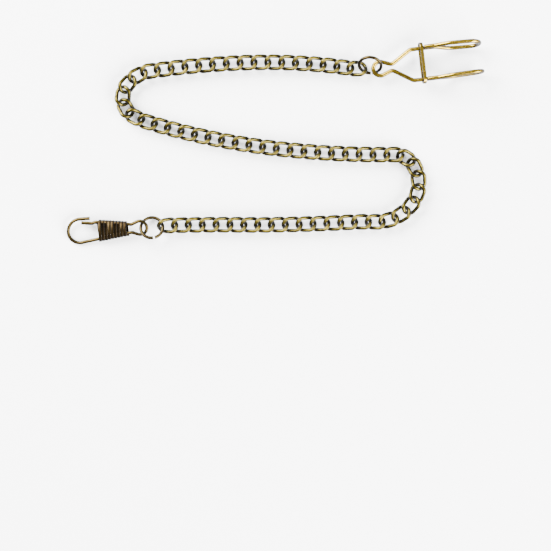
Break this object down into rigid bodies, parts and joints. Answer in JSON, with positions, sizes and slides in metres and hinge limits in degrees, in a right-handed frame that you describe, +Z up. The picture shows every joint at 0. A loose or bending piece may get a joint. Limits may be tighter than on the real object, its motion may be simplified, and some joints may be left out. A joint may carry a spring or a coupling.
{
  "type": "pocket watch chain",
  "caption": "Antiqued brass curb chain laid in an S, with jump rings, a sprung wire hook bound with flat wire at one end, and a sprung wire clip with a slide ring at the other.",
  "frame": {"origin": "on the table, under the middle of the whole object's box", "axes": "+X from the clasp's hook side to the clip's tips, +Z up off the table, +Y towards the clip's run of chain"},
  "size_m": [0.1402, 0.0688, 0.0088],
  "materials": {
    "chain_brass": "antiqued",
    "ring_brass": "antiqued, dark",
    "clip_brass": "antiqued, polished on the outside",
    "clasp_brass": "antiqued",
    "clasp_binding_brass": "dark antiqued"
  },
  "bodies": {
    "clip": {"clip_eye": "clip_brass"},
    "clip_upper_jaw": {"clip_upper_jaw": "clip_brass"},
    "clip_lower_jaw": {"clip_lower_jaw": "clip_brass"},
    "clip_slide_ring": {"clip_slide_ring": "clip_brass"},
    "clip_ring": {"clip_ring": "ring_brass"},
    "link_01": {"link_01": "chain_brass"},
    "link_02": {"link_02": "chain_brass"},
    "link_03": {"link_03": "chain_brass"},
    "link_04_05": {"link_04_05": "chain_brass"},
    "link_06": {"link_06": "chain_brass"},
    "link_07": {"link_07": "chain_brass"},
    "link_08": {"link_08": "chain_brass"},
    "link_09_10": {"link_09_10": "chain_brass"},
    "link_11": {"link_11": "chain_brass"},
    "link_12": {"link_12": "chain_brass"},
    "link_13": {"link_13": "chain_brass"},
    "link_14_15": {"link_14_15": "chain_brass"},
    "link_16": {"link_16": "chain_brass"},
    "link_17": {"link_17": "chain_brass"},
    "link_18": {"link_18": "chain_brass"},
    "link_19_20": {"link_19_20": "chain_brass"},
    "link_21": {"link_21": "chain_brass"},
    "link_22": {"link_22": "chain_brass"},
    "link_23": {"link_23": "chain_brass"},
    "link_24_25": {"link_24_25": "chain_brass"},
    "link_26": {"link_26": "chain_brass"},
    "link_27": {"link_27": "chain_brass"},
    "link_28": {"link_28": "chain_brass"},
    "link_29_30": {"link_29_30": "chain_brass"},
    "link_31": {"link_31": "chain_brass"},
    "link_32": {"link_32": "chain_brass"},
    "link_33": {"link_33": "chain_brass"},
    "link_34_35": {"link_34_35": "chain_brass"},
    "link_36": {"link_36": "chain_brass"},
    "link_37": {"link_37": "chain_brass"},
    "link_38": {"link_38": "chain_brass"},
    "link_39_40": {"link_39_40": "chain_brass"},
    "link_41": {"link_41": "chain_brass"},
    "link_42": {"link_42": "chain_brass"},
    "link_43": {"link_43": "chain_brass"},
    "link_44_45": {"link_44_45": "chain_brass"},
    "link_46": {"link_46": "chain_brass"},
    "link_47": {"link_47": "chain_brass"},
    "link_48": {"link_48": "chain_brass"},
    "link_49_50": {"link_49_50": "chain_brass"},
    "link_51": {"link_51": "chain_brass"},
    "link_52": {"link_52": "chain_brass"},
    "link_53": {"link_53": "chain_brass"},
    "link_54_55": {"link_54_55": "chain_brass"},
    "link_56": {"link_56": "chain_brass"},
    "link_57": {"link_57": "chain_brass"},
    "link_58": {"link_58": "chain_brass"},
    "link_59_60": {"link_59_60": "chain_brass"},
    "link_61": {"link_61": "chain_brass"},
    "link_62": {"link_62": "chain_brass"},
    "link_63": {"link_63": "chain_brass"},
    "clasp_ring": {"clasp_ring": "ring_brass"},
    "clasp": {"clasp_hook_wire": "clasp_brass", "clasp_binding": "clasp_binding_brass"},
    "clasp_gate": {"clasp_gate_leg": "clasp_brass"}
  },
  "joints": [
    {"name": "upper_jaw_spring", "type": "hinge", "parent": "clip", "child": "clip_upper_jaw", "pos_m": [0.04072, 0.02734, 0.00333], "axis": [-0.0588, -0.0067, 0.9982], "range_deg": [-6, 0], "stiffness_Nm_per_rad": 0.12},
    {"name": "lower_jaw_spring", "type": "hinge", "parent": "clip", "child": "clip_lower_jaw", "pos_m": [0.04118, 0.02328, 0.00333], "axis": [-0.0588, -0.0067, 0.9982], "range_deg": [0, 6], "stiffness_Nm_per_rad": 0.12},
    {"name": "slide_ring_slide", "type": "slide", "parent": "clip", "child": "clip_slide_ring", "axis": [0.9918, 0.113, 0.0592], "range_m": [-0.0095, 0]},
    {"name": "clip_ring_swing", "type": "hinge", "parent": "clip", "child": "clip_ring", "pos_m": [0.03532, 0.02467, 0.003], "axis": [0.3421, 0.6191, 0.7069], "range_deg": [-24, 4]},
    {"name": "link_01_swing", "type": "hinge", "parent": "clip_ring", "child": "link_01", "pos_m": [0.02874, 0.02472, 0.00205], "axis": [0.5178, -0.6259, -0.5831], "range_deg": [-28, 28]},
    {"name": "link_02_swing", "type": "hinge", "parent": "link_01", "child": "link_02", "pos_m": [0.02448, 0.02481, 0.00209], "axis": [-0.021, -0.7263, -0.6871], "range_deg": [-24, 24]},
    {"name": "link_03_swing", "type": "hinge", "parent": "link_02", "child": "link_03", "pos_m": [0.02012, 0.02556, 0.00207], "axis": [0.0923, 0.7011, 0.7071], "range_deg": [-24, 24]},
    {"name": "link_04_05_swing", "type": "hinge", "parent": "link_03", "child": "link_04_05", "pos_m": [0.01549, 0.02605, 0.00207], "axis": [-0.0758, -0.703, -0.7071], "range_deg": [-24, 24]},
    {"name": "link_06_swing", "type": "hinge", "parent": "link_04_05", "child": "link_06", "pos_m": [0.00621, 0.02668, 0.00207], "axis": [0.0426, 0.7058, 0.7071], "range_deg": [-24, 24]},
    {"name": "link_07_swing", "type": "hinge", "parent": "link_06", "child": "link_07", "pos_m": [0.00157, 0.02684, 0.00207], "axis": [-0.0259, -0.7066, -0.7071], "range_deg": [-24, 24]},
    {"name": "link_08_swing", "type": "hinge", "parent": "link_07", "child": "link_08", "pos_m": [-0.00308, 0.02688, 0.00207], "axis": [0.0093, 0.707, 0.7071], "range_deg": [-24, 24]},
    {"name": "link_09_10_swing", "type": "hinge", "parent": "link_08", "child": "link_09_10", "pos_m": [-0.00773, 0.02681, 0.00207], "axis": [0.0074, -0.7071, -0.7071], "range_deg": [-24, 24]},
    {"name": "link_11_swing", "type": "hinge", "parent": "link_09_10", "child": "link_11", "pos_m": [-0.01702, 0.0264, 0.00207], "axis": [-0.0348, 0.7063, 0.7071], "range_deg": [-24, 24]},
    {"name": "link_12_swing", "type": "hinge", "parent": "link_11", "child": "link_12", "pos_m": [-0.02166, 0.02609, 0.00207], "axis": [0.0455, -0.7056, -0.7071], "range_deg": [-24, 24]},
    {"name": "link_13_swing", "type": "hinge", "parent": "link_12", "child": "link_13", "pos_m": [-0.0263, 0.02571, 0.00207], "axis": [-0.0562, 0.7049, 0.7071], "range_deg": [-24, 24]},
    {"name": "link_14_15_swing", "type": "hinge", "parent": "link_13", "child": "link_14_15", "pos_m": [-0.03092, 0.02526, 0.00207], "axis": [0.0669, -0.7039, -0.7071], "range_deg": [-24, 24]},
    {"name": "link_16_swing", "type": "hinge", "parent": "link_14_15", "child": "link_16", "pos_m": [-0.04016, 0.02415, 0.00207], "axis": [-0.0883, 0.7016, 0.7071], "range_deg": [-24, 24]},
    {"name": "link_17_swing", "type": "hinge", "parent": "link_16", "child": "link_17", "pos_m": [-0.04476, 0.02349, 0.00207], "axis": [0.0989, -0.7002, -0.7071], "range_deg": [-20, 24]},
    {"name": "link_18_swing", "type": "hinge", "parent": "link_17", "child": "link_18", "pos_m": [-0.04864, 0.02096, 0.00207], "axis": [-0.3497, 0.6146, 0.7071], "range_deg": [-24, 20]},
    {"name": "link_19_20_swing", "type": "hinge", "parent": "link_18", "child": "link_19_20", "pos_m": [-0.05132, 0.01719, 0.00207], "axis": [0.5514, -0.4427, -0.7071], "range_deg": [-4, 24]},
    {"name": "link_21_swing", "type": "hinge", "parent": "link_19_20", "child": "link_21", "pos_m": [-0.04863, 0.0088, 0.00207], "axis": [-0.617, -0.3454, 0.7071], "range_deg": [-24, 4]},
    {"name": "link_22_swing", "type": "hinge", "parent": "link_21", "child": "link_22", "pos_m": [-0.04433, 0.00714, 0.00207], "axis": [0.3184, 0.6314, -0.7071], "range_deg": [-24, 24]},
    {"name": "link_23_swing", "type": "hinge", "parent": "link_22", "child": "link_23", "pos_m": [-0.03985, 0.00591, 0.00207], "axis": [-0.2051, -0.6767, 0.7071], "range_deg": [-24, 24]},
    {"name": "link_24_25_swing", "type": "hinge", "parent": "link_23", "child": "link_24_25", "pos_m": [-0.03537, 0.00466, 0.00207], "axis": [0.1921, 0.6805, -0.7071], "range_deg": [-24, 24]},
    {"name": "link_26_swing", "type": "hinge", "parent": "link_24_25", "child": "link_26", "pos_m": [-0.02635, 0.00242, 0.00207], "axis": [-0.1658, -0.6874, 0.7071], "range_deg": [-24, 24]},
    {"name": "link_27_swing", "type": "hinge", "parent": "link_26", "child": "link_27", "pos_m": [-0.0218, 0.00143, 0.00207], "axis": [0.1526, 0.6905, -0.7071], "range_deg": [-24, 24]},
    {"name": "link_28_swing", "type": "hinge", "parent": "link_27", "child": "link_28", "pos_m": [-0.01724, 0.00052, 0.00207], "axis": [-0.1393, -0.6933, 0.7071], "range_deg": [-24, 24]},
    {"name": "link_29_30_swing", "type": "hinge", "parent": "link_28", "child": "link_29_30", "pos_m": [-0.01266, -0.00029, 0.00207], "axis": [0.1259, 0.6958, -0.7071], "range_deg": [-24, 24]},
    {"name": "link_31_swing", "type": "hinge", "parent": "link_29_30", "child": "link_31", "pos_m": [-0.00347, -0.00166, 0.00207], "axis": [-0.0991, -0.7001, 0.7071], "range_deg": [-24, 24]},
    {"name": "link_32_swing", "type": "hinge", "parent": "link_31", "child": "link_32", "pos_m": [0.00115, -0.00221, 0.00207], "axis": [0.0857, 0.7019, -0.7071], "range_deg": [-24, 24]},
    {"name": "link_33_swing", "type": "hinge", "parent": "link_32", "child": "link_33", "pos_m": [0.00578, -0.00269, 0.00207], "axis": [-0.0753, -0.7031, 0.7071], "range_deg": [-24, 24]},
    {"name": "link_34_35_swing", "type": "hinge", "parent": "link_33", "child": "link_34_35", "pos_m": [0.01041, -0.00311, 0.00207], "axis": [0.0648, 0.7041, -0.7071], "range_deg": [-24, 24]},
    {"name": "link_36_swing", "type": "hinge", "parent": "link_34_35", "child": "link_36", "pos_m": [0.01969, -0.00373, 0.00207], "axis": [-0.0439, -0.7057, 0.7071], "range_deg": [-24, 24]},
    {"name": "link_37_swing", "type": "hinge", "parent": "link_36", "child": "link_37", "pos_m": [0.02433, -0.00394, 0.00207], "axis": [0.0334, 0.7063, -0.7071], "range_deg": [-24, 24]},
    {"name": "link_38_swing", "type": "hinge", "parent": "link_37", "child": "link_38", "pos_m": [0.02898, -0.00408, 0.00207], "axis": [-0.023, -0.7067, 0.7071], "range_deg": [-24, 24]},
    {"name": "link_39_40_swing", "type": "hinge", "parent": "link_38", "child": "link_39_40", "pos_m": [0.03363, -0.00416, 0.00207], "axis": [0.0125, 0.707, -0.7071], "range_deg": [-24, 24]},
    {"name": "link_41_swing", "type": "hinge", "parent": "link_39_40", "child": "link_41", "pos_m": [0.04293, -0.00409, 0.00207], "axis": [0.0085, -0.7071, 0.7071], "range_deg": [-8, 24]},
    {"name": "link_42_swing", "type": "hinge", "parent": "link_41", "child": "link_42", "pos_m": [0.04664, -0.00682, 0.00207], "axis": [-0.3653, -0.6054, 0.7071], "range_deg": [-8, 24]},
    {"name": "link_43_swing", "type": "hinge", "parent": "link_42", "child": "link_43", "pos_m": [0.04837, -0.0111, 0.00207], "axis": [0.6295, 0.322, -0.7071], "range_deg": [-24, 16]},
    {"name": "link_44_45_swing", "type": "hinge", "parent": "link_43", "child": "link_44_45", "pos_m": [0.0485, -0.01573, 0.00207], "axis": [-0.7043, -0.0627, 0.7071], "range_deg": [-16, 24]},
    {"name": "link_46_swing", "type": "hinge", "parent": "link_44_45", "child": "link_46", "pos_m": [0.04377, -0.02349, 0.00207], "axis": [0.5502, -0.4441, -0.7071], "range_deg": [-24, 24]},
    {"name": "link_47_swing", "type": "hinge", "parent": "link_46", "child": "link_47", "pos_m": [0.0398, -0.02587, 0.00207], "axis": [-0.3922, 0.5883, 0.7071], "range_deg": [-24, 24]},
    {"name": "link_48_swing", "type": "hinge", "parent": "link_47", "child": "link_48", "pos_m": [0.03529, -0.02697, 0.00207], "axis": [0.1983, -0.6787, -0.7071], "range_deg": [-24, 24]},
    {"name": "link_49_50_swing", "type": "hinge", "parent": "link_48", "child": "link_49_50", "pos_m": [0.03067, -0.02666, 0.00207], "axis": [0.0137, 0.707, 0.7071], "range_deg": [-24, 24]},
    {"name": "link_51_swing", "type": "hinge", "parent": "link_49_50", "child": "link_51", "pos_m": [0.02137, -0.02704, 0.00207], "axis": [0.0381, -0.7061, -0.7071], "range_deg": [-24, 24]},
    {"name": "link_52_swing", "type": "hinge", "parent": "link_51", "child": "link_52", "pos_m": [0.01673, -0.02725, 0.00207], "axis": [-0.0326, 0.7064, 0.7071], "range_deg": [-24, 24]},
    {"name": "link_53_swing", "type": "hinge", "parent": "link_52", "child": "link_53", "pos_m": [0.01208, -0.02742, 0.00207], "axis": [0.027, -0.7066, -0.7071], "range_deg": [-24, 24]},
    {"name": "link_54_55_swing", "type": "hinge", "parent": "link_53", "child": "link_54_55", "pos_m": [0.00743, -0.02756, 0.00207], "axis": [-0.0215, 0.7068, 0.7071], "range_deg": [-24, 24]},
    {"name": "link_56_swing", "type": "hinge", "parent": "link_54_55", "child": "link_56", "pos_m": [-0.00186, -0.02772, 0.00207], "axis": [0.0104, -0.707, -0.7071], "range_deg": [-24, 24]},
    {"name": "link_57_swing", "type": "hinge", "parent": "link_56", "child": "link_57", "pos_m": [-0.00651, -0.02775, 0.00207], "axis": [-0.0048, 0.7071, 0.7071], "range_deg": [-24, 24]},
    {"name": "link_58_swing", "type": "hinge", "parent": "link_57", "child": "link_58", "pos_m": [-0.01116, -0.02774, 0.00207], "axis": [-0.0007, -0.7071, -0.7071], "range_deg": [-24, 24]},
    {"name": "link_59_60_swing", "type": "hinge", "parent": "link_58", "child": "link_59_60", "pos_m": [-0.01581, -0.02769, 0.00207], "axis": [0.0063, 0.7071, 0.7071], "range_deg": [-24, 24]},
    {"name": "link_61_swing", "type": "hinge", "parent": "link_59_60", "child": "link_61", "pos_m": [-0.02511, -0.02772, 0.00207], "axis": [0.0043, -0.7071, -0.7071], "range_deg": [-24, 24]},
    {"name": "link_62_swing", "type": "hinge", "parent": "link_61", "child": "link_62", "pos_m": [-0.02976, -0.02779, 0.00207], "axis": [-0.0096, 0.707, 0.7071], "range_deg": [-24, 24]},
    {"name": "link_63_swing", "type": "hinge", "parent": "link_62", "child": "link_63", "pos_m": [-0.03441, -0.02789, 0.00207], "axis": [0.0149, -0.7069, -0.7071], "range_deg": [-20, 8]},
    {"name": "clasp_ring_swing", "type": "hinge", "parent": "link_63", "child": "clasp_ring", "pos_m": [-0.03767, -0.028, 0.00238], "axis": [-0.0359, -0.5823, -0.8122], "range_deg": [-8, 24]},
    {"name": "clasp_swing", "type": "hinge", "parent": "clasp_ring", "child": "clasp", "pos_m": [-0.04498, -0.02867, 0.00275], "axis": [0.0132, -0.9034, 0.4286], "range_deg": [-8, 0]},
    {"name": "gate_spring", "type": "hinge", "parent": "clasp", "child": "clasp_gate", "pos_m": [-0.05407, -0.02722, 0.00247], "axis": [-0.0582, -0.1721, 0.9833], "range_deg": [0, 15], "stiffness_Nm_per_rad": 0.08}
  ],
  "couplings": [
    {"joint": "lower_jaw_spring", "follows": "upper_jaw_spring", "ratio": -1}
  ]
}
